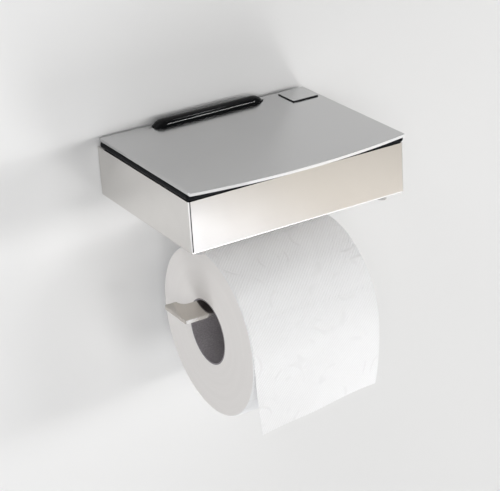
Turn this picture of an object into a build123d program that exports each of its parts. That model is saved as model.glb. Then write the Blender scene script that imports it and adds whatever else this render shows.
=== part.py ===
from build123d import *
import os
from math import sqrt

# Wall-mounted toilet paper holder: a polished steel box with a hinged lid, and a roll on an arm below it.
# Millimetres. +X is right, +Y points into the wall, +Z is up.
# The origin is on the wall, midway between the two wall screws.

# Steel box
BOX_WIDTH = 160.0
BOX_DEPTH = 123.0
BOX_HEIGHT = 35.2
FLOOR_BELOW_ORIGIN = 13.2
SHEET = 1.2
BEND_RADIUS = 1.5
WALL_POCKET = 3.0
REAR_WALL_DROP = 1.5

# Wall plate with its hooks and lock tab
PLATE_THICKNESS = 2.0
PLATE_HEIGHT = 14.0
PLATE_SIDE_GAP = 6.0
WALL_HOLE_SPACING = 80.0
WALL_HOLE_DIAMETER = 4.5
SCREW_HEAD_WINDOW = 11.0
HOOK_WIDTH = 16.0
HOOK_SIDE_INSET = 18.0
HOOK_RISE = 5.0
HOOK_PLAY = 0.2
HOOK_SEAT_GAP = 0.05
LOCK_TAB_WIDTH = 14.0
LOCK_TAB_LENGTH = 12.0
LOCK_TAB_TOP = -1.0
LOCK_SCREW_FROM_WALL = 10.0

# Tub that stands in the box
TUB_WALL = 2.0
TUB_FLANGE_WIDTH = 2.4
TUB_FLANGE_THICKNESS = 2.0
TUB_CLEARANCE = 0.4
TUB_REAR_FROM_WALL = 15.2
TUB_FOOT_HEIGHT = 6.0
TUB_FOOT_DIAMETER = 8.0
TUB_FOOT_SIDE_INSET = 11.0
TUB_FOOT_FRONT_INSET = 10.8
TUB_REAR_FOOT_FROM_WALL = 47.0
TUB_CORNER_RADIUS = 8.0
TUB_BOTTOM_RADIUS = 4.0

# Lid
LID_THICKNESS = 2.0
LID_SIDE_INSET = 0.3
LID_REAR_GAP = 3.6
LID_FRONT_OVERHANG = 2.5
LID_BOW = 7.8
LID_EDGE_BREAK = 0.25
LID_OPENING_GAP = 0.3

# Black frame under the lid
FRAME_HEIGHT = 4.45
FRAME_PROUD = 0.5
FRAME_REAR_INSET = 0.3
FRAME_WIDTH = 15.3
FRAME_EDGE_RADIUS = 2.1
FRAME_CORNER_RADIUS = 2.3
STUD_DIAMETER = 3.0
STUD_HEIGHT = 3.85
STUD_EDGE_INSET = 10.3
STUD_REAR_FROM_WALL = 23.0
STUD_NUT_ACROSS = 5.5
STUD_NUT_HEIGHT = 2.0
STUD_NUT_SEAT_DEPTH = 2.45
STUD_NUT_POCKET = 7.4

# Seal ring in the frame
SEAL_WIDTH = 2.4
SEAL_HEIGHT = 2.0
SEAL_PROUD = 0.25
SEAL_PLAY = 0.1
SEAL_CORNER_RADIUS = 6.0

# Hinge
BARREL_RADIUS = 5.6
BARREL_WALL_GAP = 3.3
BARREL_LENGTH = 85.0
BARREL_END_LENGTH = 8.0
BARREL_CLEARANCE = 0.6
WEB_THICKNESS = 4.0
WEB_WIDTH = 66.0
WEB_FOOT_BELOW_SCREWS = 5.0
WEB_CORNER_RADIUS = 3.0
PIN_DIAMETER = 1.2
PIN_LENGTH = 96.0
PIN_PLAY = 0.05
PIN_SLIT_WIDTH = 0.7
PIN_SLIT_SPAN = 91.0
HINGE_SCREW_SPACING = 44.0
HINGE_SCREW_BELOW_TOP = 5.5

# Badge on the lid, with no mark on it
BADGE_SIZE = 20.0
BADGE_SIDE_INSET = 3.0
BADGE_REAR_INSET = 4.4
BADGE_PAD_THICKNESS = 0.6
BADGE_PLATE_THICKNESS = 0.4
BADGE_PLATE_INSET = 0.2
BADGE_EDGE_BREAK = 0.1

# Paper roll
ROLL_RADIUS = 59.0
ROLL_LENGTH = 98.0
ROLL_SHIFT = 1.0
ROLL_TOP_GAP = 23.2
ROLL_WALL_GAP = 16.0
ROLL_EDGE_BREAK = 0.8
CORE_INNER_RADIUS = 22.0
CORE_THICKNESS = 1.0
CORE_PLAY = 0.05
HANG_GAP = 0.3

# Hanging end of the paper
PAPER_THICKNESS = 0.4
PAPER_GAP = 0.3
PAPER_SIDE_INSET = 0.6
PAPER_WRAP_ANGLE = 26.0
PAPER_STRAIGHT_DROP = 30.0
PAPER_CURL_RADIUS = 90.0
PAPER_CURL_ANGLE = 12.0

# Arm through the core
ARM_WIDTH = 22.0
ARM_THICKNESS = 2.5
ARM_OVERHANG = 21.0
ARM_LUG_LENGTH = 9.0
ARM_LUG_REACH = 7.4
ARM_LUG_FILLET = 6.0
ARM_TIP_RADIUS = 1.2
ARM_LEG_WIDTH = 16.0
ARM_LEG_GAP = 3.0
ARM_INNER_RADIUS = 2.5
ARM_OUTER_RADIUS = 10.0
ARM_BEND_RADIUS = 3.0
ARM_WALL_GAP = 2.0
ARM_FLANGE_LENGTH = 32.0
ARM_SCREW_SPACING = 12.0
ARM_SCREW_FROM_WALL = 14.0

# Fasteners: shank, head, washer and nut sizes
M4_SHANK = 4.0
M4_HEAD = 7.0
M4_HEAD_HEIGHT = 4.0
M4_LOW_HEAD_HEIGHT = 2.6
M4_KEY_ACROSS = 3.0
M4_KEY_DEPTH = 2.0
M4_NUT_ACROSS = 7.0
M4_NUT_HEIGHT = 3.2
WASHER_DIAMETER = 9.0
WASHER_THICKNESS = 0.8
M3_SHANK = 3.0
M3_HEAD = 5.7
M3_HEAD_HEIGHT = 1.7
M3_NUT_ACROSS = 5.5
M3_NUT_HEIGHT = 2.4
HOLE_PLAY = 0.2
THREAD_PLAY = 0.05
SCREW_TIP = 0.6
M4_TAPPED = M4_SHANK + 2 * THREAD_PLAY
M3_TAPPED = M3_SHANK + 2 * THREAD_PLAY

# Levels and faces that follow from the sizes above
BOX_BOTTOM = -FLOOR_BELOW_ORIGIN
BOX_TOP = BOX_BOTTOM + BOX_HEIGHT
FLOOR_TOP = BOX_BOTTOM + SHEET
BOX_HALF = BOX_WIDTH / 2
INNER_HALF = BOX_HALF - SHEET
INNER_FRONT = -BOX_DEPTH + SHEET
REAR_WALL_BACK = -WALL_POCKET
REAR_WALL_FRONT = -WALL_POCKET - SHEET
HOOK_TOP = PLATE_HEIGHT / 2
HOOK_XS = [HOOK_SIDE_INSET - BOX_HALF, BOX_HALF - HOOK_SIDE_INSET]
WALL_HOLE_XS = [-WALL_HOLE_SPACING / 2, WALL_HOLE_SPACING / 2]
FRAME_BOTTOM = BOX_TOP + LID_OPENING_GAP
LID_BOTTOM = FRAME_BOTTOM + FRAME_HEIGHT
LID_TOP = LID_BOTTOM + LID_THICKNESS
LID_HALF = BOX_HALF - LID_SIDE_INSET
LID_FRONT = -BOX_DEPTH - LID_FRONT_OVERHANG
FRAME_HALF = BOX_HALF + FRAME_PROUD
FRAME_FRONT = -BOX_DEPTH - FRAME_PROUD
FRAME_REAR = -LID_REAR_GAP - FRAME_REAR_INSET
HINGE_Y = -BARREL_RADIUS - BARREL_WALL_GAP
HINGE_Z = LID_BOTTOM + LID_THICKNESS / 2
HINGE_SCREW_Z = BOX_TOP - HINGE_SCREW_BELOW_TOP
TUB_FLANGE_HALF = INNER_HALF - TUB_CLEARANCE
TUB_FLANGE_FRONT = INNER_FRONT + TUB_CLEARANCE
TUB_FLANGE_REAR = -TUB_REAR_FROM_WALL
TUB_HALF = TUB_FLANGE_HALF - TUB_FLANGE_WIDTH
TUB_FRONT = TUB_FLANGE_FRONT + TUB_FLANGE_WIDTH
TUB_REAR = TUB_FLANGE_REAR - TUB_FLANGE_WIDTH
TUB_BOTTOM = FLOOR_TOP + TUB_FOOT_HEIGHT
TUB_FOOT_X = BOX_HALF - TUB_FOOT_SIDE_INSET
TUB_FRONT_FOOT_Y = -BOX_DEPTH + TUB_FOOT_FRONT_INSET
ROLL_Y = -(ROLL_WALL_GAP + ROLL_RADIUS)
ROLL_Z = BOX_BOTTOM - ROLL_TOP_GAP - ROLL_RADIUS
ROLL_LEFT = ROLL_SHIFT - ROLL_LENGTH / 2
ROLL_RIGHT = ROLL_SHIFT + ROLL_LENGTH / 2
ARM_TOP = ROLL_Z + sqrt((CORE_INNER_RADIUS - HANG_GAP) ** 2 - (ARM_WIDTH / 2) ** 2)
ARM_BOTTOM = ARM_TOP - ARM_THICKNESS
ARM_LEFT = ROLL_LEFT - ARM_OVERHANG
ARM_LEG_LEFT = ROLL_RIGHT + ARM_LEG_GAP
ARM_RIGHT = ARM_LEG_LEFT + ARM_LEG_WIDTH
ARM_SCREW_X = (ARM_LEG_LEFT + ARM_RIGHT) / 2
ARM_SCREW_YS = [-ARM_SCREW_FROM_WALL, -ARM_SCREW_FROM_WALL - ARM_SCREW_SPACING]
TUB_SCREW_XS = [-TUB_FOOT_X, TUB_FOOT_X]
HINGE_SCREW_XS = [-HINGE_SCREW_SPACING / 2, HINGE_SCREW_SPACING / 2]
STUD_X = FRAME_HALF - STUD_EDGE_INSET
STUD_FRONT_Y = FRAME_FRONT + STUD_EDGE_INSET
STUD_MID_Y = (STUD_FRONT_Y - STUD_REAR_FROM_WALL) / 2
STUD_YS = [STUD_FRONT_Y, STUD_MID_Y, -STUD_REAR_FROM_WALL]
STUD_PLACES = [(x, y) for x in (-STUD_X, STUD_X) for y in STUD_YS]


def block(x_range, y_range, z_range):
    """Box between two limits on each axis."""
    sizes = [high - low for low, high in (x_range, y_range, z_range)]
    centre = [(high + low) / 2 for low, high in (x_range, y_range, z_range)]
    return Pos(*centre) * Box(*sizes)


def post(x, y, z_range, diameter):
    """Upright cylinder."""
    low, high = z_range
    return Pos(x, y, (low + high) / 2) * Cylinder(diameter / 2, high - low)


def rod_x(x_range, y, z, diameter):
    """Cylinder along X."""
    low, high = x_range
    return Pos((low + high) / 2, y, z) * Rot(0, 90, 0) * Cylinder(diameter / 2, high - low)


def rod_y(x, y_range, z, diameter):
    """Cylinder along Y."""
    low, high = y_range
    return Pos(x, (low + high) / 2, z) * Rot(90, 0, 0) * Cylinder(diameter / 2, high - low)


def hexagon(across):
    """Hexagon sketch, by its width across the flats."""
    return RegularPolygon(across / 2, 6, major_radius=False)


def upright_nut(x, y, z_range, across, bore):
    """Hexagon nut on a vertical screw."""
    low, high = z_range
    blank = Pos(x, y, low) * extrude(hexagon(across), high - low)
    return blank - post(x, y, z_range, bore)


def upright_screw(x, y, seat, tip, shank, head, head_height):
    """Socket screw from below: head under the seat, shank up to the tip."""
    body = post(x, y, (seat - head_height, seat), head) + post(x, y, (seat, tip), shank)
    socket = Pos(x, y, seat - head_height) * extrude(hexagon(M4_KEY_ACROSS), head_height / 2)
    return body - socket


def washer(x, y, top):
    """Flat washer whose upper face is at top."""
    z_range = (top - WASHER_THICKNESS, top)
    return post(x, y, z_range, WASHER_DIAMETER) - post(x, y, z_range, M4_SHANK + HOLE_PLAY)


def rounded_rectangle(x_half, y_front, y_rear, radius):
    """Sketch of a rectangle with round corners, centred in X."""
    return Pos(0, (y_front + y_rear) / 2) * RectangleRounded(2 * x_half, y_rear - y_front, radius)


def pill_sketch(margin):
    """Barrel seen from above, grown by a margin, around the hinge axis."""
    straight = BARREL_LENGTH / 2 - BARREL_END_LENGTH
    middle = Rectangle(2 * straight, 2 * (BARREL_RADIUS + margin))
    end = Ellipse(BARREL_END_LENGTH + margin, BARREL_RADIUS + margin)
    return middle + Pos(-straight, 0) * end + Pos(straight, 0) * end


def ring_sector(y, z, radii, start, end):
    """Piece of a flat ring in the YZ plane, between two angles in degrees from +Y."""
    inner, outer = radii
    arc_in = CenterArc((0, 0), inner, start, end - start)
    arc_out = CenterArc((0, 0), outer, start, end - start)
    sides = [Line(arc_in @ 0, arc_out @ 0), Line(arc_in @ 1, arc_out @ 1)]
    return Pos(y, z) * make_face([arc_in, arc_out, *sides])


def make_box_shell():
    """Folded and welded steel box; the floor and sides run past the rear wall to hide the wall plate."""
    outer = block((-BOX_HALF, BOX_HALF), (-BOX_DEPTH, 0), (BOX_BOTTOM, BOX_TOP))
    front_corners = outer.edges().filter_by(Axis.Z).group_by(Axis.Y)[0]
    floor_edges = outer.edges().group_by(Axis.Z)[0].filter_by(lambda e: e.center().Y < -SHEET)
    outer = fillet(front_corners + floor_edges, BEND_RADIUS)
    inner = block((-INNER_HALF, INNER_HALF), (INNER_FRONT, SHEET), (FLOOR_TOP, BOX_TOP + SHEET))
    inner_front = inner.edges().filter_by(Axis.Z).group_by(Axis.Y)[0]
    inner_floor = inner.edges().group_by(Axis.Z)[0].filter_by(lambda e: e.center().Y < -SHEET)
    inner = fillet(inner_front + inner_floor, BEND_RADIUS - SHEET)
    rear_range = (FLOOR_TOP - SHEET / 2, BOX_TOP - REAR_WALL_DROP)
    rear = block((-INNER_HALF, INNER_HALF), (REAR_WALL_FRONT, REAR_WALL_BACK), rear_range)
    shell = (outer - inner) + (rear - rear_wall_openings())
    floor_range = (BOX_BOTTOM - SHEET, FLOOR_TOP + SHEET)
    hole = M4_SHANK + HOLE_PLAY
    for x in TUB_SCREW_XS:
        shell -= post(x, TUB_FRONT_FOOT_Y, floor_range, hole)
    for y in ARM_SCREW_YS:
        shell -= post(ARM_SCREW_X, y, floor_range, hole)
    return shell - post(0, -LOCK_SCREW_FROM_WALL, floor_range, hole)


def rear_wall_openings():
    """Slots for the hooks and the lock tab, windows for the wall screws and holes for the hinge screws."""
    depth = (REAR_WALL_FRONT - SHEET, REAR_WALL_BACK + SHEET)
    half_hook = HOOK_WIDTH / 2 + HOOK_PLAY
    half_tab = LOCK_TAB_WIDTH / 2 + HOOK_PLAY
    entry = PLATE_THICKNESS + HOOK_RISE + 2 * HOOK_PLAY
    tab_low = LOCK_TAB_TOP - PLATE_THICKNESS - HOOK_RISE - HOOK_PLAY
    slot_range = (HOOK_TOP - entry, HOOK_TOP + HOOK_SEAT_GAP)
    cuts = block((-half_tab, half_tab), depth, (tab_low, LOCK_TAB_TOP + HOOK_PLAY))
    for x in HOOK_XS:
        cuts += block((x - half_hook, x + half_hook), depth, slot_range)
    for x in WALL_HOLE_XS:
        cuts += rod_y(x, depth, 0, SCREW_HEAD_WINDOW)
    for x in HINGE_SCREW_XS:
        cuts += rod_y(x, depth, HINGE_SCREW_Z, M3_SHANK + HOLE_PLAY)
    return cuts


def make_wall_plate():
    """Steel plate on the wall, with two hooks bent forward and up, and a tab for the lock screw."""
    half = INNER_HALF - PLATE_SIDE_GAP
    thickness = (-PLATE_THICKNESS, 0)
    plate = block((-half, half), thickness, (-PLATE_HEIGHT / 2, PLATE_HEIGHT / 2))
    tab_half = LOCK_TAB_WIDTH / 2
    relief_half = tab_half + PLATE_THICKNESS
    tab_low = LOCK_TAB_TOP - PLATE_THICKNESS
    plate -= block((-relief_half, relief_half), thickness, (-PLATE_HEIGHT, tab_low))
    plate += block((-tab_half, tab_half), (-PLATE_THICKNESS - LOCK_TAB_LENGTH, 0), (tab_low, LOCK_TAB_TOP))
    hook_back = REAR_WALL_FRONT - HOOK_PLAY
    hook_front = hook_back - PLATE_THICKNESS
    hook_low = HOOK_TOP - PLATE_THICKNESS
    for x in HOOK_XS:
        x_range = (x - HOOK_WIDTH / 2, x + HOOK_WIDTH / 2)
        plate += block(x_range, (hook_front, 0), (hook_low, HOOK_TOP))
        plate += block(x_range, (hook_front, hook_back), (hook_low, HOOK_TOP + HOOK_RISE))
    for x in WALL_HOLE_XS:
        plate -= rod_y(x, thickness, 0, WALL_HOLE_DIAMETER)
    return plate


def make_lock_parts():
    """Grub screw that presses up on the wall plate's tab, and its nut on the floor."""
    y = -LOCK_SCREW_FROM_WALL
    nut = upright_nut(0, y, (FLOOR_TOP, FLOOR_TOP + M4_NUT_HEIGHT), M4_NUT_ACROSS, M4_TAPPED)
    screw = post(0, y, (BOX_BOTTOM, LOCK_TAB_TOP - PLATE_THICKNESS), M4_SHANK)
    screw -= Pos(0, y, BOX_BOTTOM) * extrude(hexagon(M4_KEY_ACROSS), M4_KEY_DEPTH)
    return screw, nut


def make_container():
    """Moulded tub with a flange round its mouth, on four feet; the front feet take the screws."""
    wall_range = (TUB_BOTTOM, BOX_TOP)
    outline = rounded_rectangle(TUB_HALF, TUB_FRONT, TUB_REAR, TUB_CORNER_RADIUS)
    tub = Pos(0, 0, TUB_BOTTOM) * extrude(outline, wall_range[1] - wall_range[0])
    tub = fillet(tub.edges().group_by(Axis.Z)[0], TUB_BOTTOM_RADIUS)
    flange_outline = rounded_rectangle(TUB_FLANGE_HALF, TUB_FLANGE_FRONT, TUB_FLANGE_REAR, BEND_RADIUS)
    tub += Pos(0, 0, BOX_TOP - TUB_FLANGE_THICKNESS) * extrude(flange_outline, TUB_FLANGE_THICKNESS)
    inside = rounded_rectangle(
        TUB_HALF - TUB_WALL, TUB_FRONT + TUB_WALL, TUB_REAR - TUB_WALL, TUB_CORNER_RADIUS - TUB_WALL
    )
    cavity = Pos(0, 0, TUB_BOTTOM + TUB_WALL) * extrude(inside, BOX_TOP - TUB_BOTTOM)
    cavity = fillet(cavity.edges().group_by(Axis.Z)[0], TUB_BOTTOM_RADIUS - TUB_WALL)
    foot_range = (FLOOR_TOP, TUB_BOTTOM + TUB_WALL / 2)
    for x in TUB_SCREW_XS:
        for y in (TUB_FRONT_FOOT_Y, -TUB_REAR_FOOT_FROM_WALL):
            tub += post(x, y, foot_range, TUB_FOOT_DIAMETER)
    tub -= cavity
    for x in TUB_SCREW_XS:
        tub -= post(x, TUB_FRONT_FOOT_Y, (FLOOR_TOP, TUB_BOTTOM), M4_TAPPED)
    return tub


def make_container_fasteners():
    """Screws and washers under the front corners of the floor."""
    tip = TUB_BOTTOM - SCREW_TIP
    seat = BOX_BOTTOM - WASHER_THICKNESS
    y = TUB_FRONT_FOOT_Y
    screws = [upright_screw(x, y, seat, tip, M4_SHANK, M4_HEAD, M4_HEAD_HEIGHT) for x in TUB_SCREW_XS]
    washers = [washer(x, y, BOX_BOTTOM) for x in TUB_SCREW_XS]
    return screws, washers


def make_hinge_barrel():
    """Round-ended barrel on an upright web that is screwed to the box's rear wall."""
    half_profile = pill_sketch(0) & Pos(0, BARREL_RADIUS) * Rectangle(2 * BARREL_LENGTH, 2 * BARREL_RADIUS)
    barrel = Pos(0, HINGE_Y, HINGE_Z) * revolve(half_profile, Axis.X)
    web_low = HINGE_SCREW_Z - WEB_FOOT_BELOW_SCREWS
    web_depth = (REAR_WALL_FRONT - WEB_THICKNESS, REAR_WALL_FRONT)
    web = block((-WEB_WIDTH / 2, WEB_WIDTH / 2), web_depth, (web_low, HINGE_Z))
    foot_corners = web.edges().filter_by(Axis.Y).group_by(Axis.Z)[0]
    web = fillet(foot_corners, WEB_CORNER_RADIUS)
    bore = rod_x((-BARREL_LENGTH, BARREL_LENGTH), HINGE_Y, HINGE_Z, PIN_DIAMETER + 2 * PIN_PLAY)
    body = barrel + web - bore
    for x in HINGE_SCREW_XS:
        body -= rod_y(x, web_depth, HINGE_SCREW_Z, M3_SHANK + HOLE_PLAY)
    return body


def make_hinge_fasteners():
    """Screws through the web and the rear wall, with nuts in the pocket behind."""
    web_front = REAR_WALL_FRONT - WEB_THICKNESS
    nut_back = REAR_WALL_BACK + M3_NUT_HEIGHT
    blank = extrude(hexagon(M3_NUT_ACROSS), M3_NUT_HEIGHT)
    screws = []
    nuts = []
    for x in HINGE_SCREW_XS:
        head = rod_y(x, (web_front - M3_HEAD_HEIGHT, web_front), HINGE_SCREW_Z, M3_HEAD)
        screws.append(head + rod_y(x, (web_front, nut_back), HINGE_SCREW_Z, M3_SHANK))
        nut = Pos(x, nut_back, HINGE_SCREW_Z) * Rot(90, 0, 0) * blank
        nuts.append(nut - rod_y(x, (REAR_WALL_BACK, nut_back), HINGE_SCREW_Z, M3_TAPPED))
    return screws, nuts


def make_lid_plate():
    """Lid with a bowed front edge, a notch for the barrel, grooves for the pin and studs for the frame."""
    rear = -LID_REAR_GAP
    corners = [(-LID_HALF, LID_FRONT), (-LID_HALF, rear), (LID_HALF, rear), (LID_HALF, LID_FRONT)]
    bow = ThreePointArc(corners[0], (0, LID_FRONT - LID_BOW), corners[-1])
    outline = make_face([Polyline(*corners), bow])
    plate = Pos(0, 0, LID_BOTTOM) * extrude(outline, LID_THICKNESS)
    plate = chamfer(plate.edges().group_by(Axis.Z)[-1], LID_EDGE_BREAK)
    notch = Pos(0, HINGE_Y) * pill_sketch(BARREL_CLEARANCE)
    plate -= Pos(0, 0, LID_BOTTOM - LID_THICKNESS) * extrude(notch, 3 * LID_THICKNESS)
    groove_half = PIN_DIAMETER / 2 + PIN_PLAY
    groove_x = PIN_LENGTH / 2 + PIN_PLAY
    groove_y = (HINGE_Y - groove_half, HINGE_Y + groove_half)
    plate -= block((-groove_x, groove_x), groove_y, (LID_BOTTOM, HINGE_Z + groove_half))
    slit_x = PIN_SLIT_SPAN / 2
    slit_y = (HINGE_Y - PIN_SLIT_WIDTH / 2, HINGE_Y + PIN_SLIT_WIDTH / 2)
    plate -= block((-slit_x, slit_x), slit_y, (HINGE_Z, LID_TOP + LID_THICKNESS))
    for x, y in STUD_PLACES:
        plate += post(x, y, (LID_BOTTOM - STUD_HEIGHT, LID_BOTTOM), STUD_DIAMETER)
    return plate


def make_lid_frame():
    """Moulded frame under the lid, rounded behind the hinge axis so that it can dip as the lid opens."""
    outline = rounded_rectangle(FRAME_HALF, FRAME_FRONT, FRAME_REAR, FRAME_CORNER_RADIUS)
    frame = Pos(0, 0, FRAME_BOTTOM) * extrude(outline, FRAME_HEIGHT)
    rims = frame.edges().group_by(Axis.Z)
    frame = fillet(rims[0] + rims[-1], FRAME_EDGE_RADIUS)
    window_half = FRAME_HALF - FRAME_WIDTH
    window_front = FRAME_FRONT + FRAME_WIDTH
    window_rear = HINGE_Y - BARREL_RADIUS - BARREL_CLEARANCE - FRAME_WIDTH
    window = rounded_rectangle(window_half, window_front, window_rear, SEAL_CORNER_RADIUS)
    frame -= Pos(0, 0, FRAME_BOTTOM) * extrude(window, FRAME_HEIGHT)
    notch = Pos(0, HINGE_Y) * pill_sketch(BARREL_CLEARANCE)
    frame -= Pos(0, 0, FRAME_BOTTOM) * extrude(notch, FRAME_HEIGHT)
    across = (-FRAME_HALF, FRAME_HALF)
    behind = block(across, (HINGE_Y, 0), (FRAME_BOTTOM, LID_BOTTOM))
    frame -= behind - rod_x(across, HINGE_Y, HINGE_Z, 2 * (HINGE_Z - FRAME_BOTTOM))
    seat = LID_BOTTOM - (FRAME_HEIGHT - STUD_NUT_SEAT_DEPTH)
    for x, y in STUD_PLACES:
        frame -= post(x, y, (FRAME_BOTTOM, LID_BOTTOM), STUD_DIAMETER + HOLE_PLAY)
        frame -= post(x, y, (FRAME_BOTTOM, seat), STUD_NUT_POCKET)
    groove_top = FRAME_BOTTOM + SEAL_HEIGHT - SEAL_PROUD
    return frame - seal_ring(SEAL_PLAY, (FRAME_BOTTOM, groove_top))


def seal_ring(margin, z_range):
    """Ring over the tub's flange, grown by a margin on both sides."""
    low, high = z_range
    shift = (TUB_FLANGE_WIDTH - TUB_WALL) / 2
    half, front, rear = TUB_HALF + shift, TUB_FRONT - shift, TUB_REAR + shift
    grow = SEAL_WIDTH / 2 + margin
    outer = rounded_rectangle(half + grow, front - grow, rear + grow, SEAL_CORNER_RADIUS + grow)
    inner = rounded_rectangle(half - grow, front + grow, rear - grow, SEAL_CORNER_RADIUS - grow)
    return Pos(0, 0, low) * extrude(outer - inner, high - low)


def make_frame_nuts():
    """Nuts on the lid's studs, in the frame's pockets."""
    seat = LID_BOTTOM - (FRAME_HEIGHT - STUD_NUT_SEAT_DEPTH)
    z_range = (seat - STUD_NUT_HEIGHT, seat)
    bore = STUD_DIAMETER + 2 * THREAD_PLAY
    return [upright_nut(x, y, z_range, STUD_NUT_ACROSS, bore) for x, y in STUD_PLACES]


def make_badge():
    """Square pad and bare plate near the rear right corner of the lid."""
    x_range = (LID_HALF - BADGE_SIDE_INSET - BADGE_SIZE, LID_HALF - BADGE_SIDE_INSET)
    rear = -LID_REAR_GAP - BADGE_REAR_INSET
    y_range = (rear - BADGE_SIZE, rear)
    pad_top = LID_TOP + BADGE_PAD_THICKNESS
    pad = block(x_range, y_range, (LID_TOP, pad_top))
    inner_x = (x_range[0] + BADGE_PLATE_INSET, x_range[1] - BADGE_PLATE_INSET)
    inner_y = (y_range[0] + BADGE_PLATE_INSET, y_range[1] - BADGE_PLATE_INSET)
    plate = block(inner_x, inner_y, (pad_top, pad_top + BADGE_PLATE_THICKNESS))
    return pad, chamfer(plate.edges().group_by(Axis.Z)[-1], BADGE_EDGE_BREAK)


def make_roll_arm():
    """Plate cut as a hook, bent up behind the roll and forward under the floor."""
    front = ROLL_Y - ARM_WIDTH / 2
    rear = ROLL_Y + ARM_WIDTH / 2
    bend_start = -ARM_WALL_GAP - ARM_THICKNESS - 2 * ARM_BEND_RADIUS
    lug_right = ARM_LEFT + ARM_LUG_LENGTH
    lug_rear = rear + ARM_LUG_REACH
    corners = [
        (ARM_LEG_LEFT, rear), (lug_right, rear), (lug_right, lug_rear), (ARM_LEFT, lug_rear),
        (ARM_LEFT, front), (ARM_RIGHT, front), (ARM_RIGHT, bend_start), (ARM_LEG_LEFT, bend_start)
    ]
    outline = make_face(Polyline(*corners, close=True))
    radii = {
        (lug_right, rear): ARM_LUG_FILLET,
        (lug_right, lug_rear): ARM_TIP_RADIUS,
        (ARM_LEFT, lug_rear): ARM_TIP_RADIUS,
        (ARM_LEFT, front): ARM_TIP_RADIUS,
        (ARM_RIGHT, front): ARM_OUTER_RADIUS,
        (ARM_LEG_LEFT, rear): ARM_INNER_RADIUS,
    }
    for corner, radius in radii.items():
        outline = fillet(outline.vertices().sort_by_distance((*corner, 0))[0], radius)
    flat = Pos(0, 0, ARM_BOTTOM) * extrude(outline, ARM_THICKNESS)
    return flat + arm_upright(bend_start)


def arm_upright(bend_start):
    """Bent part of the arm: up along the wall and forward under the floor, with its screw holes."""
    back = -ARM_WALL_GAP
    face = back - ARM_THICKNESS
    flange_end = back - ARM_FLANGE_LENGTH
    under = BOX_BOTTOM - ARM_THICKNESS
    points = [
        (bend_start, ARM_BOTTOM), (back, ARM_BOTTOM), (back, BOX_BOTTOM), (flange_end, BOX_BOTTOM),
        (flange_end, under), (face, under), (face, ARM_TOP), (bend_start, ARM_TOP)
    ]
    profile = make_face(Polyline(*points, close=True))
    outer_bend = ARM_BEND_RADIUS + ARM_THICKNESS
    for corner, radius in zip((1, 2, 5, 6), (outer_bend, outer_bend, ARM_BEND_RADIUS, ARM_BEND_RADIUS)):
        profile = fillet(profile.vertices().sort_by_distance((*points[corner], 0))[0], radius)
    leg = Pos(ARM_LEG_LEFT, 0, 0) * extrude(Plane.YZ * profile, ARM_LEG_WIDTH)
    for y in ARM_SCREW_YS:
        leg -= post(ARM_SCREW_X, y, (under, BOX_BOTTOM), M4_SHANK + HOLE_PLAY)
    return leg


def make_arm_fasteners():
    """Screws and washers under the arm's flange, nuts on the floor."""
    under = BOX_BOTTOM - ARM_THICKNESS
    seat = under - WASHER_THICKNESS
    nut_top = FLOOR_TOP + M4_NUT_HEIGHT
    tip = nut_top + SCREW_TIP
    screws = []
    washers = []
    nuts = []
    for y in ARM_SCREW_YS:
        screws.append(upright_screw(ARM_SCREW_X, y, seat, tip, M4_SHANK, M4_HEAD, M4_LOW_HEAD_HEIGHT))
        washers.append(washer(ARM_SCREW_X, y, under))
        nuts.append(upright_nut(ARM_SCREW_X, y, (FLOOR_TOP, nut_top), M4_NUT_ACROSS, M4_TAPPED))
    return screws, washers, nuts


def make_paper():
    """Roll, its cardboard core and the end that hangs in front."""
    x_range = (ROLL_LEFT, ROLL_RIGHT)
    core_outer = CORE_INNER_RADIUS + CORE_THICKNESS
    roll = rod_x(x_range, ROLL_Y, ROLL_Z, 2 * ROLL_RADIUS)
    roll = chamfer(roll.edges().filter_by(GeomType.CIRCLE), ROLL_EDGE_BREAK)
    roll -= rod_x(x_range, ROLL_Y, ROLL_Z, 2 * core_outer)
    core = rod_x(x_range, ROLL_Y, ROLL_Z, 2 * (core_outer - CORE_PLAY))
    core -= rod_x(x_range, ROLL_Y, ROLL_Z, 2 * CORE_INNER_RADIUS)
    inner = ROLL_RADIUS + PAPER_GAP
    outer = inner + PAPER_THICKNESS
    curl_z = ROLL_Z - PAPER_STRAIGHT_DROP
    curl_y = ROLL_Y - outer - PAPER_CURL_RADIUS
    curl_radii = (PAPER_CURL_RADIUS, PAPER_CURL_RADIUS + PAPER_THICKNESS)
    straight = Rectangle(PAPER_THICKNESS, PAPER_STRAIGHT_DROP)
    profile = ring_sector(ROLL_Y, ROLL_Z, (inner, outer), 180 - PAPER_WRAP_ANGLE, 180)
    profile += Pos(ROLL_Y - (inner + outer) / 2, (ROLL_Z + curl_z) / 2) * straight
    profile += ring_sector(curl_y, curl_z, curl_radii, -PAPER_CURL_ANGLE, 0)
    width = ROLL_LENGTH - 2 * PAPER_SIDE_INSET
    end = Pos(ROLL_LEFT + PAPER_SIDE_INSET, 0, 0) * extrude(Plane.YZ * profile, width)
    return roll, core, end


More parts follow.
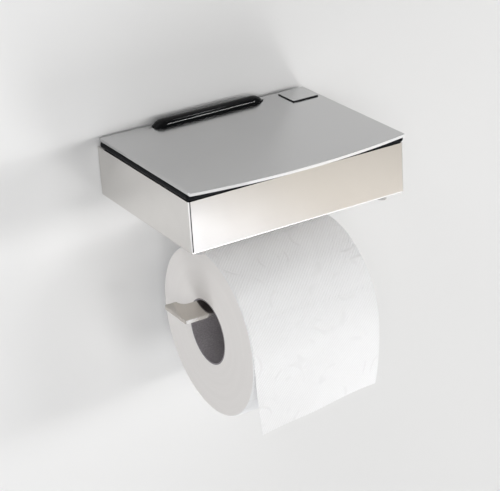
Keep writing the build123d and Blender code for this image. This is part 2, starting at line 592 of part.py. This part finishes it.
def build():
    """Every piece by its name; a list holds like pieces that share a name."""
    lock_screw, lock_nut = make_lock_parts()
    container_screws, container_washers = make_container_fasteners()
    hinge_screws, hinge_nuts = make_hinge_fasteners()
    badge_pad, badge_plate = make_badge()
    arm_screws, arm_washers, arm_nuts = make_arm_fasteners()
    paper_roll, paper_core, paper_end = make_paper()
    seal_low = FRAME_BOTTOM - SEAL_PROUD
    return {
        "box_shell": make_box_shell(),
        "wall_plate": make_wall_plate(),
        "lock_screw": lock_screw,
        "lock_nut": lock_nut,
        "container": make_container(),
        "container_screws": container_screws,
        "container_washers": container_washers,
        "hinge_barrel": make_hinge_barrel(),
        "hinge_screws": hinge_screws,
        "hinge_nuts": hinge_nuts,
        "hinge_pin": rod_x((-PIN_LENGTH / 2, PIN_LENGTH / 2), HINGE_Y, HINGE_Z, PIN_DIAMETER),
        "lid_plate": make_lid_plate(),
        "lid_frame": make_lid_frame(),
        "frame_nuts": make_frame_nuts(),
        "lid_seal": seal_ring(0, (seal_low, seal_low + SEAL_HEIGHT)),
        "badge_pad": badge_pad,
        "badge_plate": badge_plate,
        "roll_arm": make_roll_arm(),
        "arm_screws": arm_screws,
        "arm_washers": arm_washers,
        "arm_nuts": arm_nuts,
        "paper_roll": paper_roll,
        "paper_core": paper_core,
        "paper_end": paper_end,
    }


os.makedirs("parts", exist_ok=True)
for name, piece in build().items():
    shape = Compound(children=piece) if isinstance(piece, list) else piece
    export_step(shape, f"parts/{name}.step")
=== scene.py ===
"""Looks of a wall-mounted toilet paper holder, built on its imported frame. Metres, +Z up, the wall at y = 0."""
from math import asin, cos, pi, radians, sin

import bpy
from mathutils import Matrix, Vector


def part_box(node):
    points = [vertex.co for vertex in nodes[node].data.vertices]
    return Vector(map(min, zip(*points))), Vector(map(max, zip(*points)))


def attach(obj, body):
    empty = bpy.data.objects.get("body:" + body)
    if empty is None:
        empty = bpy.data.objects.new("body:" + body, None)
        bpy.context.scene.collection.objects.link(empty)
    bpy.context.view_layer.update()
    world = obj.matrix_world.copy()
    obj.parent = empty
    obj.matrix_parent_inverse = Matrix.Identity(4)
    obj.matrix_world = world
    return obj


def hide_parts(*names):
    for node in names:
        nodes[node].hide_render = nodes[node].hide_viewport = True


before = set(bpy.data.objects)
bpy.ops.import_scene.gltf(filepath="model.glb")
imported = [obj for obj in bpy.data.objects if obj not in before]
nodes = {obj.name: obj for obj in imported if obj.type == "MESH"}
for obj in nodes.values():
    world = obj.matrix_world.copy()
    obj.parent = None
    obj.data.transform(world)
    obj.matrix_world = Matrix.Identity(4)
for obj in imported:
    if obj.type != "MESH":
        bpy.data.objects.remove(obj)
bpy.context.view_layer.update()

# Places taken from the frame
roll_low, roll_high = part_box("paper_roll")
core_low, core_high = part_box("paper_core")
end_low, end_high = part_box("paper_end")
arm_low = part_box("roll_arm")[0]
LID_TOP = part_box("lid_plate")[1].z
BOX_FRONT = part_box("box_shell")[0].y
ROLL_CENTRE = (roll_low + roll_high) / 2
ROLL_RADIUS = (roll_high.z - roll_low.z) / 2
CORE_RADIUS = (core_high.z - core_low.z) / 2

# Camera of the photograph, for a frame 500 pixels wide
CAMERA_PLACE = Vector((-0.5152, -0.9579, 0.4151))
CAMERA_AZIMUTH = radians(29.71)
CAMERA_ELEVATION = radians(24.25)
CAMERA_ROLL = radians(-3.53)
FOCAL_PIXELS = 1686
FRAME_PIXELS = 500

# Stage
WALL_SIZE = 9
WALL_GAP = 0.0004
FLOOR_SIZE = 3.2
FLOOR_HEIGHT = -0.7
CARD_SIZE = 1.1
CARD_PLACE = (-0.05, -1.6, FLOOR_HEIGHT + 0.01)
LAMP_AIM = (0, -0.06, 0)

# Strength of the room's light
ROOM_FRONT = 0.02
ROOM_MIRRORED = 0.24
ROOM_EDGES = 0.05
ROOM_LEFT = 0.75
ROOM_BELOW = 1.6
ROOM_BEHIND = 0.35
ROOM_SEEN = 0.85

# Hanging end of the paper
SHEET_WIDTH = end_high.x - end_low.x
SHEET_THICKNESS = 0.00014
SHEET_TOP_GAP = 0.00012
SHEET_FRONT_GAP = 0.0004
SHEET_DROP = 0.0490
SHEET_WRAP = asin((end_high.z - ROLL_CENTRE.z) / (ROLL_RADIUS + SHEET_FRONT_GAP))
SHEET_ARC = SHEET_WRAP * (ROLL_RADIUS + SHEET_FRONT_GAP)
SHEET_LENGTH = SHEET_ARC + SHEET_DROP
SHEET_LEFT_FORWARD = 0.0042
SHEET_RIGHT_BACK = 0.0085
SHEET_SWAY_LIFT = 1.3
SHEET_RIPPLE = 0.0007
SHEET_RIPPLE_TURN = 9.0
SHEET_RIPPLE_START = 0.6
SHEET_CURL = 0.0016
SHEET_TOOTH = 0.0024
SHEET_TEAR = 0.00022
SHEET_TORN_SHARE = 0.995
SHEET_COLUMNS = 161
SHEET_ROWS = 96

# Wound roll
CORE_PLAY = 0.00005
LAYER_RINGS = 26
LAYER_SLACK = 0.00012
LAYER_SEED = 4
ROLL_RIM = 0.0011
ROLL_RIM_STEPS = 4
ROLL_STEPS = 192
CUT_FACE_NORMAL = 0.85
MERGE_DISTANCE = 0.00001

# Marks in the finishes
# Depth of the arm's front edge, and where its painted highlight fades out
ARM_EDGE_DEPTH = 0.0002
ARM_HIGHLIGHT_START = 0.002
ARM_HIGHLIGHT_END = 0.013
LID_EDGE_DEPTH = 0.00008
RIB_PITCH = 0.0017
RIB_SLANT = 0.71
RIB_DRIFT = 0.0009
LAYER_PITCH = 0.00042
SEAM_PITCH = 0.058


class Wire:
    """An output of a finish's nodes. Arithmetic on it adds Math nodes."""

    def __init__(self, finish, socket):
        self.finish = finish
        self.socket = socket

    def maths(self, operation, first, second):
        return self.finish.node("ShaderNodeMath", {"operation": operation}, {0: first, 1: second})

    def __add__(self, other):
        return self.maths("ADD", self, other)

    def __radd__(self, other):
        return self.maths("ADD", other, self)

    def __sub__(self, other):
        return self.maths("SUBTRACT", self, other)

    def __rsub__(self, other):
        return self.maths("SUBTRACT", other, self)

    def __mul__(self, other):
        return self.maths("MULTIPLY", self, other)

    def __rmul__(self, other):
        return self.maths("MULTIPLY", other, self)

    def __lt__(self, other):
        return self.maths("LESS_THAN", self, other)

    def __gt__(self, other):
        return self.maths("LESS_THAN", other, self)


class Nodes:
    """Builds the nodes of one material or of the world."""

    def __init__(self, owner):
        owner.use_nodes = True
        self.tree = owner.node_tree
        self.tree.nodes.clear()

    def feed(self, socket, value):
        if isinstance(value, Wire):
            self.tree.links.new(value.socket, socket)
        elif socket.type == "RGBA" and len(value) == 3:
            socket.default_value = (*value, 1)
        else:
            socket.default_value = value

    def node(self, kind, settings=None, inputs=None, out=0):
        made = self.tree.nodes.new(kind)
        for key, value in (settings or {}).items():
            setattr(made, key, value)
        for key, value in (inputs or {}).items():
            self.feed(made.inputs[key], value)
        if isinstance(out, tuple):
            return [Wire(self, made.outputs[i]) for i in out]
        return Wire(self, made.outputs[out]) if len(made.outputs) else None

    def place(self, scale=(1, 1, 1), shift=(0, 0, 0)):
        spot = self.node("ShaderNodeTexCoord", out="Object")
        return self.node("ShaderNodeMapping", None, {"Vector": spot, "Scale": scale, "Location": shift})

    def split(self, vector):
        return self.node("ShaderNodeSeparateXYZ", None, {0: vector}, (0, 1, 2))

    def join(self, x, y, z):
        return self.node("ShaderNodeCombineXYZ", None, {0: x, 1: y, 2: z})

    def noise(self, vector, scale, detail=2.0, rough=0.5):
        return self.node(
            "ShaderNodeTexNoise", None, {"Vector": vector, "Scale": scale, "Detail": detail, "Roughness": rough}
        )

    def smooth(self, value, low, high, out_low=0.0, out_high=1.0):
        return self.node(
            "ShaderNodeMapRange", {"interpolation_type": "SMOOTHSTEP"},
            {"Value": value, "From Min": low, "From Max": high, "To Min": out_low, "To Max": out_high}
        )

    def one(self, operation, value):
        return self.node("ShaderNodeMath", {"operation": operation}, {0: value})

    def tint(self, factor, first, second):
        return self.node("ShaderNodeMix", {"data_type": "RGBA"}, {0: factor, 6: first, 7: second}, 2)

    def bump(self, height, strength, distance):
        return self.node("ShaderNodeBump", None, {"Height": height, "Strength": strength, "Distance": distance})


class Finish(Nodes):
    """One procedural material round a Principled shader."""

    def __init__(self, name, **fixed):
        self.material = bpy.data.materials.new(name)
        super().__init__(self.material)
        self.shown = self.node("ShaderNodeBsdfPrincipled")
        self.give(**fixed)
        self.show(self.shown)

    def give(self, **sockets):
        for key, value in sockets.items():
            self.feed(self.shown.socket.node.inputs[key.replace("_", " ")], value)

    def show(self, surface):
        self.node("ShaderNodeOutputMaterial", None, {"Surface": surface})


def mirror_steel():
    """Polished sheet: faint wiping marks, fine polishing lines and a slight wave in the sheet."""
    finish = Finish("mirror_steel", Metallic=1.0)
    smudge = finish.noise(finish.place(), 34, 3, 0.6)
    lines = finish.noise(finish.place((12, 40, 1500)), 1.0, 2)
    wave = finish.noise(finish.place((1, 1, 0.5)), 17, 1)
    finish.give(
        Base_Color=finish.tint(smudge, (0.73, 0.715, 0.695), (0.665, 0.65, 0.63)),
        Roughness=0.035 + finish.smooth(smudge, 0.45, 0.75) * 0.05 + lines * 0.035,
        Normal=finish.bump(wave, 0.10, 0.0012),
    )
    return finish.material


def arm_steel():
    """Polished strip, warmer and duller than the box: fine lines along it, and a painted highlight on the front
    edge, brightest at the tip.
    """
    finish = Finish("arm_steel")
    smudge = finish.noise(finish.place(), 60, 3, 0.6)
    lines = finish.noise(finish.place((25, 1800, 1800)), 1.0, 2)
    x, y, _ = finish.split(finish.place())
    # Painted highlight: the front edge is coloured near-white and made less metallic, brightest at the tip
    highlight_fade = finish.smooth(x, arm_low.x + ARM_HIGHLIGHT_START, arm_low.x + ARM_HIGHLIGHT_END, 1.0, 0.2)
    edge = (y < arm_low.y + ARM_EDGE_DEPTH) * highlight_fade
    flat = finish.tint(smudge, (0.60, 0.57, 0.53), (0.52, 0.49, 0.45))
    finish.give(
        Base_Color=finish.tint(edge, flat, (0.95, 0.94, 0.93)),
        Metallic=1 - edge * 0.7,
        Roughness=0.07 + lines * 0.06 + smudge * 0.04,
        Normal=finish.bump(lines, 0.04, 0.00003),
    )
    return finish.material


def lid_steel():
    """Finely ground sheet with polished edges and a painted highlight along the front edge: short grain and soft,
    cloudy wiping marks.
    """
    finish = Finish("lid_steel")
    cloud = finish.noise(finish.place(), 21, 3, 0.55)
    grain = finish.noise(finish.place((70, 2600, 2600)), 1.0, 3, 0.6)
    _, y, z = finish.split(finish.place())
    edge = z < LID_TOP - LID_EDGE_DEPTH
    # Painted highlight: the front edge faces are coloured near-white and made less metallic
    front = edge * (y < BOX_FRONT)
    ground = finish.tint(cloud, (0.58, 0.58, 0.58), (0.53, 0.53, 0.535))
    finish.give(
        Base_Color=finish.tint(front, ground, (0.96, 0.955, 0.95)),
        Metallic=1 - front * 0.8,
        Roughness=0.05 + (1 - edge) * (0.08 + grain * 0.07 + cloud * 0.05),
        Normal=finish.bump(grain, 0.05, 0.00003),
    )
    return finish.material


def zinc_steel():
    """Zinc-plated plate: pale patches in the plating and a dull grain."""
    finish = Finish("zinc_steel", Metallic=1.0)
    patches = finish.node(
        "ShaderNodeTexVoronoi", {"feature": "F1"}, {"Vector": finish.place(), "Scale": 260}, "Color"
    )
    shade = finish.split(patches)[0]
    grain = finish.noise(finish.place((1, 1, 9)), 900, 2)
    finish.give(
        Base_Color=finish.tint(shade, (0.58, 0.59, 0.61), (0.47, 0.48, 0.50)),
        Roughness=0.32 + shade * 0.12 + grain * 0.06,
        Normal=finish.bump(grain, 0.08, 0.00005),
    )
    return finish.material


def screw_steel():
    """Bright plated fasteners with turning marks and a little tarnish."""
    finish = Finish("screw_steel", Metallic=1.0)
    turned = finish.noise(finish.place((500, 500, 5200)), 1.0, 2)
    tarnish = finish.smooth(finish.noise(finish.place(), 520, 3), 0.45, 0.7)
    finish.give(
        Base_Color=finish.tint(tarnish, (0.62, 0.61, 0.60), (0.46, 0.44, 0.41)),
        Roughness=0.24 + turned * 0.14 + tarnish * 0.08,
        Normal=finish.bump(turned, 0.12, 0.00004),
    )
    return finish.material


def black_oxide():
    """Blackened steel, rubbed a little brighter in spots."""
    finish = Finish("black_oxide", Metallic=0.85)
    rubbed = finish.smooth(finish.noise(finish.place(), 700, 3), 0.55, 0.78)
    finish.give(
        Base_Color=finish.tint(rubbed, (0.035, 0.035, 0.037), (0.12, 0.12, 0.12)),
        Roughness=0.42 - rubbed * 0.12,
        Normal=finish.bump(rubbed, 0.05, 0.00003),
    )
    return finish.material


def moulded_black():
    """Moulded black plastic with a fine eroded skin."""
    finish = Finish("moulded_black", Specular_IOR_Level=0.05)
    skin = finish.noise(finish.place(), 2600, 3, 0.6)
    cloud = finish.noise(finish.place(), 45, 2)
    finish.give(
        Base_Color=finish.tint(cloud, (0.005, 0.0055, 0.0065), (0.010, 0.0105, 0.012)),
        Roughness=0.40 + cloud * 0.10 + skin * 0.06,
        Normal=finish.bump(skin, 0.16, 0.00005),
    )
    return finish.material


def gloss_black():
    """Polished black moulding with a trace of sink and dust."""
    finish = Finish("gloss_black", Specular_IOR_Level=0.16)
    ripple = finish.noise(finish.place((1, 3, 3)), 70, 2)
    dust = finish.smooth(finish.noise(finish.place(), 1900, 2), 0.70, 0.82)
    finish.give(
        Base_Color=finish.tint(dust, (0.003, 0.003, 0.0035), (0.014, 0.014, 0.015)),
        Roughness=0.05 + ripple * 0.04 + dust * 0.25,
        Normal=finish.bump(ripple, 0.04, 0.0003),
    )
    return finish.material


def seal_rubber():
    """Soft black seal with a faint bloom."""
    finish = Finish("seal_rubber", Specular_IOR_Level=0.35)
    bloom = finish.noise(finish.place(), 240, 3)
    finish.give(
        Base_Color=finish.tint(bloom, (0.022, 0.022, 0.023), (0.060, 0.060, 0.062)),
        Roughness=0.62 + bloom * 0.2,
        Normal=finish.bump(bloom, 0.1, 0.0001),
    )
    return finish.material


def embossed_tissue(name, across_along):
    """Soft white tissue: fine slanted ribs, scattered curved strokes and loose fibres; the ribs and strokes also
    show in the colour as painted shade of the embossing.
    """
    finish = Finish(name, Specular_IOR_Level=0.12, Sheen_Weight=0.25, Sheen_Roughness=0.6)
    across, along = across_along(finish)
    flat = finish.join(across, along, 0.0)
    drift = finish.noise(flat, 60, 2) * RIB_DRIFT
    ribs = finish.one("SINE", (across * RIB_SLANT + along * RIB_SLANT + drift) * (2 * pi / RIB_PITCH))
    swirl = finish.node(
        "ShaderNodeTexVoronoi", {"feature": "SMOOTH_F1"}, {"Vector": flat, "Scale": 31, "Smoothness": 0.35}
    )
    strokes = finish.one("SINE", swirl * 34)
    stroke = finish.smooth(strokes, 0.55, 1.0) * finish.smooth(finish.noise(flat, 52, 1), 0.50, 0.62)
    stretched = finish.node("ShaderNodeMapping", None, {"Vector": flat, "Scale": (1.0, 0.35, 1.0)})
    fibre = finish.noise(stretched, 2600, 3, 0.65)
    cloud = finish.noise(flat, 40, 3)
    height = ribs * 0.5 * (1 - stroke) + stroke * 1.1 + fibre * 0.9 + cloud * 1.6
    # The rib and stroke terms in the colour are painted shade of the embossing; cloud and fibre are the tissue's own
    # uneven tone
    shade = 0.45 * cloud + 0.25 * fibre + 0.15 + ribs * 0.24 * (1 - stroke) - stroke * 0.35
    finish.give(
        Base_Color=finish.tint(shade, (0.86, 0.855, 0.85), (0.97, 0.97, 0.97)),
        Roughness=0.82 + fibre * 0.12,
        Normal=finish.bump(height, 0.7, 0.0002),
    )
    return finish.material


def round_the_roll(finish):
    """Position along the axis, and along the winding as an arc length."""
    x, y, z = finish.split(finish.place(shift=-ROLL_CENTRE))
    angle = finish.node("ShaderNodeMath", {"operation": "ARCTAN2"}, {0: z, 1: 0 - y})
    return x, angle * -ROLL_RADIUS


def down_the_sheet(finish):
    """The same two lengths on the hanging end, from its own flat map."""
    spot = finish.node("ShaderNodeUVMap", {"uv_map": "flat"})
    u, v, _ = finish.split(spot)
    return (u - 0.5) * SHEET_WIDTH, v * SHEET_LENGTH - SHEET_ARC


def cut_layers():
    """Cut face of the roll: many thin layers in uneven bands, with a soft fuzz."""
    finish = Finish("cut_layers", Specular_IOR_Level=0.1)
    _, y, z = finish.split(finish.place(shift=-ROLL_CENTRE))
    radius = finish.one("SQRT", y * y + z * z)
    turn = finish.node("ShaderNodeMath", {"operation": "ARCTAN2"}, {0: z, 1: y})
    wound = radius + turn * (LAYER_PITCH / (2 * pi))
    round_x, round_y = finish.one("SINE", turn) * 0.6, finish.one("COSINE", turn) * 0.6
    layers = finish.noise(finish.join(wound * 2300, round_x, round_y), 1.0, 3, 0.7)
    band = finish.noise(finish.join(wound * 260, turn * 0.25, 0.0), 1.0, 2)
    fuzz = finish.noise(finish.place(), 2200, 3, 0.65)
    shade = 0.5 * band + 0.35 * layers + 0.15 * fuzz
    finish.give(
        Base_Color=finish.tint(shade, (0.85, 0.82, 0.79), (0.95, 0.92, 0.89)),
        Roughness=0.9,
        Normal=finish.bump(layers + 0.5 * fuzz, 0.30, 0.0002),
    )
    return finish.material


def core_board():
    """Grey cardboard tube: a wound seam and flecks of recycled fibre."""
    finish = Finish("core_board", Specular_IOR_Level=0.2)
    x, y, z = finish.split(finish.place(shift=-ROLL_CENTRE))
    turn = finish.node("ShaderNodeMath", {"operation": "ARCTAN2"}, {0: z, 1: y})
    wound = finish.one("FRACT", x * (1 / SEAM_PITCH) + turn * (1 / (2 * pi)))
    seam = 1 - finish.smooth(finish.one("ABSOLUTE", wound - 0.5), 0.0, 0.012)
    fleck = finish.noise(finish.place((0.5, 1, 1)), 1500, 3, 0.7)
    cloud = finish.noise(finish.place(), 120, 2)
    shade = finish.smooth(fleck, 0.35, 0.75) * 0.6 + cloud * 0.4
    finish.give(
        Base_Color=finish.tint(shade, (0.23, 0.212, 0.225), (0.38, 0.36, 0.375)),
        Roughness=0.78 + fleck * 0.12,
        Normal=finish.bump(fleck * 0.4 - seam, 0.35, 0.0002),
    )
    return finish.material


def start(name, add, **settings):
    """Deselects all and adds one primitive under its own name."""
    bpy.ops.object.select_all(action="DESELECT")
    add(**settings)
    made = bpy.context.object
    made.name = name
    made.data.name = name
    return made


def pick(piece, kind, test):
    """In edit mode, selects only the vertices, or the edges, whose middle passes the test."""
    bpy.ops.object.mode_set(mode="EDIT")
    bpy.ops.mesh.select_mode(type=kind)
    bpy.ops.mesh.select_all(action="DESELECT")
    bpy.ops.object.mode_set(mode="OBJECT")
    mesh = piece.data
    if kind == "VERT":
        for vertex in mesh.vertices:
            vertex.select = test(vertex.co)
    else:
        for edge in mesh.edges:
            first, second = (mesh.vertices[i].co for i in edge.vertices)
            edge.select = test((first + second) / 2)
    bpy.ops.object.mode_set(mode="EDIT")


def wind_roll(outside, face):
    """Roll of tissue: a section with slack layers on both cut faces, spun about the roll's axis."""
    width = roll_high.x - roll_low.x
    depth = ROLL_RADIUS - CORE_RADIUS - CORE_PLAY
    middle = ROLL_CENTRE + Vector((0, 0, ROLL_RADIUS - depth / 2))
    roll = start("wound_roll", bpy.ops.mesh.primitive_plane_add, size=1, location=middle, rotation=(pi / 2, 0, 0))
    roll.scale = (width, depth, 1)
    bpy.ops.object.transform_apply(location=True, rotation=True, scale=True)
    top = ROLL_CENTRE.z + ROLL_RADIUS
    pick(roll, "VERT", lambda spot: spot.z > top - ROLL_RIM / 2)
    bpy.ops.mesh.bevel(offset=ROLL_RIM, segments=ROLL_RIM_STEPS, affect="VERTICES")
    bpy.ops.mesh.select_all(action="SELECT")
    bpy.ops.mesh.delete(type="ONLY_FACE")
    near_face = width / 2 - ROLL_RIM / 8
    pick(roll, "EDGE", lambda spot: abs(spot.x - ROLL_CENTRE.x) > near_face and spot.z < top - ROLL_RIM)
    bpy.ops.mesh.subdivide(number_cuts=LAYER_RINGS)
    slack_low, slack_high = top - depth + 2 * ROLL_RIM, top - 3 * ROLL_RIM
    pick(
        roll, "VERT",
        lambda spot: abs(spot.x - ROLL_CENTRE.x) > near_face and slack_low < spot.z < slack_high
    )
    bpy.ops.transform.vertex_random(offset=LAYER_SLACK, seed=LAYER_SEED, wait_for_input=False)
    bpy.ops.mesh.select_all(action="SELECT")
    bpy.ops.mesh.spin(steps=ROLL_STEPS, angle=2 * pi, center=ROLL_CENTRE, axis=(1, 0, 0))
    bpy.ops.mesh.select_all(action="SELECT")
    bpy.ops.mesh.remove_doubles(threshold=MERGE_DISTANCE)
    bpy.ops.mesh.normals_make_consistent(inside=False)
    bpy.ops.object.mode_set(mode="OBJECT")
    bpy.ops.object.shade_smooth_by_angle(angle=radians(40))
    roll.data.materials.append(outside)
    roll.data.materials.append(face)
    for polygon in roll.data.polygons:
        polygon.material_index = 1 if abs(polygon.normal.x) > CUT_FACE_NORMAL else 0
    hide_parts("paper_roll")
    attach(roll, "roll")


def sheet_point(across, length):
    """Place of a point of the hanging end: across from 0 to 1, and length down from its upper edge."""
    x = end_low.x + across * SHEET_WIDTH
    front = ROLL_RADIUS + SHEET_FRONT_GAP
    if length < SHEET_ARC:
        angle = SHEET_WRAP * (1 - length / SHEET_ARC)
        lift = SHEET_TOP_GAP + (SHEET_FRONT_GAP - SHEET_TOP_GAP) * (length / SHEET_ARC) ** 2
        radius = ROLL_RADIUS + lift
        return Vector((x, ROLL_CENTRE.y - radius * cos(angle), ROLL_CENTRE.z + radius * sin(angle)))
    drop = length - SHEET_ARC
    share = drop / SHEET_DROP
    sway = (-SHEET_LEFT_FORWARD + across * (SHEET_LEFT_FORWARD + SHEET_RIGHT_BACK)) * share ** 2
    ripple = SHEET_RIPPLE * sin(across * SHEET_RIPPLE_TURN + SHEET_RIPPLE_START) * share ** 1.5
    curl = SHEET_CURL * (2 * across - 1) ** 2 * share ** 2
    y = ROLL_CENTRE.y - front + sway + ripple - curl
    shorter = (sway * sway) / (2 * SHEET_DROP) * SHEET_SWAY_LIFT
    return Vector((x, y, ROLL_CENTRE.z - drop + shorter))


def hang_sheet(tissue):
    """Hanging end of the paper, torn along its perforation."""
    sheet = start(
        "hanging_sheet", bpy.ops.mesh.primitive_grid_add,
        x_subdivisions=SHEET_COLUMNS - 1, y_subdivisions=SHEET_ROWS - 1, size=1, calc_uvs=True
    )
    sheet.data.uv_layers[0].name = "flat"
    for vertex in sheet.data.vertices:
        across = vertex.co.x + 0.5
        share = 0.5 - vertex.co.y
        tooth = abs((across * SHEET_WIDTH / SHEET_TOOTH) % 1 - 0.5) * 4 - 1
        tear = SHEET_TEAR * tooth if share > SHEET_TORN_SHARE else 0
        vertex.co = sheet_point(across, share * SHEET_LENGTH + tear)
    for loop in sheet.data.uv_layers["flat"].data:
        loop.uv.y = 1 - loop.uv.y
    solid = sheet.modifiers.new("thickness", "SOLIDIFY")
    solid.thickness = SHEET_THICKNESS
    solid.offset = 0
    bpy.ops.object.modifier_apply(modifier=solid.name)
    bpy.ops.object.mode_set(mode="EDIT")
    bpy.ops.mesh.select_all(action="SELECT")
    bpy.ops.mesh.normals_make_consistent(inside=False)
    bpy.ops.object.mode_set(mode="OBJECT")
    bpy.ops.object.shade_smooth_by_angle(angle=radians(50))
    sheet.data.materials.append(tissue)
    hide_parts("paper_end")
    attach(sheet, "holder")


def dress(finish, *names):
    """Puts one finish on CAD nodes."""
    for name in names:
        mesh = nodes[name].data
        mesh.materials.clear()
        mesh.materials.append(finish)


def backdrop_paint(name, left, right=None, from_x=0.0, to_x=1.0):
    """Paint in one colour, or a blend of two from left to right (on the wall a painted shade), and clear from behind
    so that the holder shows.
    """
    finish = Finish(name, Base_Color=left, Roughness=0.85, Specular_IOR_Level=0.2)
    if right:
        across = finish.split(finish.place())[0]
        finish.give(Base_Color=finish.tint(finish.smooth(across, from_x, to_x), left, right))
    behind = finish.node("ShaderNodeNewGeometry", out="Backfacing")
    clear = finish.node("ShaderNodeBsdfTransparent")
    surface = finish.node("ShaderNodeMixShader", None, {0: behind, 1: finish.shown, 2: clear})
    finish.feed(finish.tree.get_output_node("CYCLES").inputs["Surface"], surface)
    return finish.material


def set_stage():
    """Pale wall, darker towards the right as painted shade, and a floor with a dark card on it that only the
    polished faces and bends see.
    """
    wall = start(
        "wall", bpy.ops.mesh.primitive_plane_add,
        size=WALL_SIZE, location=(0, WALL_GAP, FLOOR_HEIGHT + WALL_SIZE / 2), rotation=(pi / 2, 0, 0)
    )
    # The wall's colour falls from left to right: painted shade standing in for the room's light across the wall
    wall.data.materials.append(
        backdrop_paint("wall_paint_and_shade", (0.945, 0.942, 0.934), (0.82, 0.816, 0.806), -0.26, 0.06)
    )
    floor = start(
        "floor", bpy.ops.mesh.primitive_plane_add, size=FLOOR_SIZE, location=(0, -FLOOR_SIZE / 2, FLOOR_HEIGHT)
    )
    floor.data.materials.append(
        backdrop_paint("floor_paint", (0.76, 0.765, 0.79), (0.74, 0.70, 0.645), 0.6, 0.95)
    )
    card = start("card", bpy.ops.mesh.primitive_plane_add, size=CARD_SIZE, location=CARD_PLACE)
    card.data.materials.append(backdrop_paint("card_black", (0.03, 0.03, 0.03)))
    floor.visible_camera = False
    card.visible_camera = False
    for part in (wall, floor, card):
        part.visible_shadow = False
        part.visible_diffuse = False


def add_lamp(name, place, aim, width, power, height=None):
    """Soft lamp at a place, turned towards a point. It is square unless it has a height of its own."""
    lamp = bpy.data.lights.new(name, "AREA")
    lamp.shape = "RECTANGLE"
    lamp.size = width
    lamp.size_y = height or width
    lamp.energy = power
    stand = bpy.data.objects.new(name, lamp)
    bpy.context.scene.collection.objects.link(stand)
    stand.location = place
    stand.rotation_mode = "QUATERNION"
    stand.rotation_quaternion = (Vector(aim) - Vector(place)).to_track_quat("-Z", "Y")
    return stand


def set_light():
    """Lamps round the holder and over the floor. Polished faces mirror only the first three."""
    add_lamp("side_key", (1.59, -1.01, 0.05), LAMP_AIM, 0.15, 3.6)
    add_lamp("ceiling", (0.80, -0.45, 1.60), LAMP_AIM, 0.06, 0.5)
    glint = add_lamp("barrel_glint", (0.80, -1.25, 1.00), LAMP_AIM, 0.2, 3.5, 0.03)
    glint.visible_diffuse = False
    for name, place, width, height, power in (
        ("key", (1.08, -1.61, 0.2), 0.35, 0.35, 4.2),
        ("camera_side", (-1.0, -1.79, 0.6), 0.5, 0.5, 5.6),
        ("front_left", (-0.68, -2.14, 0.23), 0.8, 0.8, 7.4),
        ("upper_left", (-1.21, -0.50, 1.27), 0.5, 0.5, 3.2),
        ("level_strip", (0.28, -1.84, 0.05), 0.40, 0.13, 3.2),
        ("low_strip", (0.4, -1.37, -0.61), 0.32, 0.5, 4.3),
        ("far_side", (1.8, -0.48, 0.1), 0.3, 0.3, 7),
    ):
        add_lamp(name, place, LAMP_AIM, width, power, height).visible_glossy = False
    for name, place, width, power in (
        ("floor_wash", (1.16, -1.55, -0.15), 1.0, 4.2),
        ("floor_pool", (0.64, -1.55, -0.55), 0.1, 0.22),
        ("floor_left", (-1.30, -1.10, -0.30), 0.9, 4.2),
        ("floor_near", (0.42, -0.58, -0.50), 0.5, 2.3),
        ("floor_below", (-0.05, -0.65, -0.45), 0.7, 7.5),
    ):
        add_lamp(name, place, (place[0], place[1], FLOOR_HEIGHT), width, power).visible_glossy = False


def set_room():
    """World: dim in front, brighter in mirrors, lit from the left and from below, and pale to the camera."""
    world = bpy.data.worlds.new("room")
    bpy.context.scene.world = world
    sky = Nodes(world)
    x, y, z = sky.split(sky.node("ShaderNodeTexCoord", out="Generated"))
    beside = ROOM_EDGES + sky.smooth(x, -0.3, 0.3, ROOM_LEFT, 0) + sky.smooth(z, -0.7, 0, ROOM_BELOW, 0)
    mirrored = sky.node("ShaderNodeLightPath", out="Is Glossy Ray")
    front = ROOM_FRONT + mirrored * ROOM_MIRRORED + sky.smooth(y, -0.8, -0.1) * beside
    room = front + sky.smooth(y, -0.1, 0.2) * (ROOM_BEHIND - front)
    seen = sky.node("ShaderNodeLightPath", out="Is Camera Ray")
    strength = room + seen * (ROOM_SEEN - room)
    pale = sky.node("ShaderNodeBackground", None, {"Color": (0.97, 0.98, 1.0), "Strength": strength})
    sky.node("ShaderNodeOutputWorld", None, {"Surface": pale})


def set_camera():
    """Camera at the photograph's place, turned and rolled as there."""
    level_share = cos(CAMERA_ELEVATION)
    back = Vector((-sin(CAMERA_AZIMUTH) * level_share, -cos(CAMERA_AZIMUTH) * level_share, sin(CAMERA_ELEVATION)))
    level = (-back).cross(Vector((0, 0, 1))).normalized()
    upright = level.cross(-back)
    right = level * cos(CAMERA_ROLL) + upright * sin(CAMERA_ROLL)
    up = upright * cos(CAMERA_ROLL) - level * sin(CAMERA_ROLL)
    lens = bpy.data.cameras.new("camera")
    lens.lens = FOCAL_PIXELS / FRAME_PIXELS * lens.sensor_width
    camera = bpy.data.objects.new("camera", lens)
    bpy.context.scene.collection.objects.link(camera)
    camera.matrix_world = Matrix.Translation(CAMERA_PLACE) @ Matrix((right, up, back)).transposed().to_4x4()
    bpy.context.scene.camera = camera


set_camera()
set_stage()
set_light()
set_room()
bpy.context.scene.view_settings.view_transform = "Standard"

dress(mirror_steel(), "box_shell")
dress(arm_steel(), "roll_arm")
dress(lid_steel(), "lid_plate", "badge_plate")
dress(zinc_steel(), "wall_plate")
dress(
    screw_steel(), "lock_screw", "lock_nut", "hinge_screws", "hinge_nuts", "frame_nuts", "arm_screws", "arm_washers",
    "arm_nuts", "container_screws", "container_washers"
)
dress(black_oxide(), "hinge_pin")
dress(moulded_black(), "container", "lid_frame", "badge_pad")
dress(gloss_black(), "hinge_barrel")
dress(seal_rubber(), "lid_seal")
dress(core_board(), "paper_core")
wind_roll(embossed_tissue("wound_tissue", round_the_roll), cut_layers())
hang_sheet(embossed_tissue("hanging_tissue", down_the_sheet))
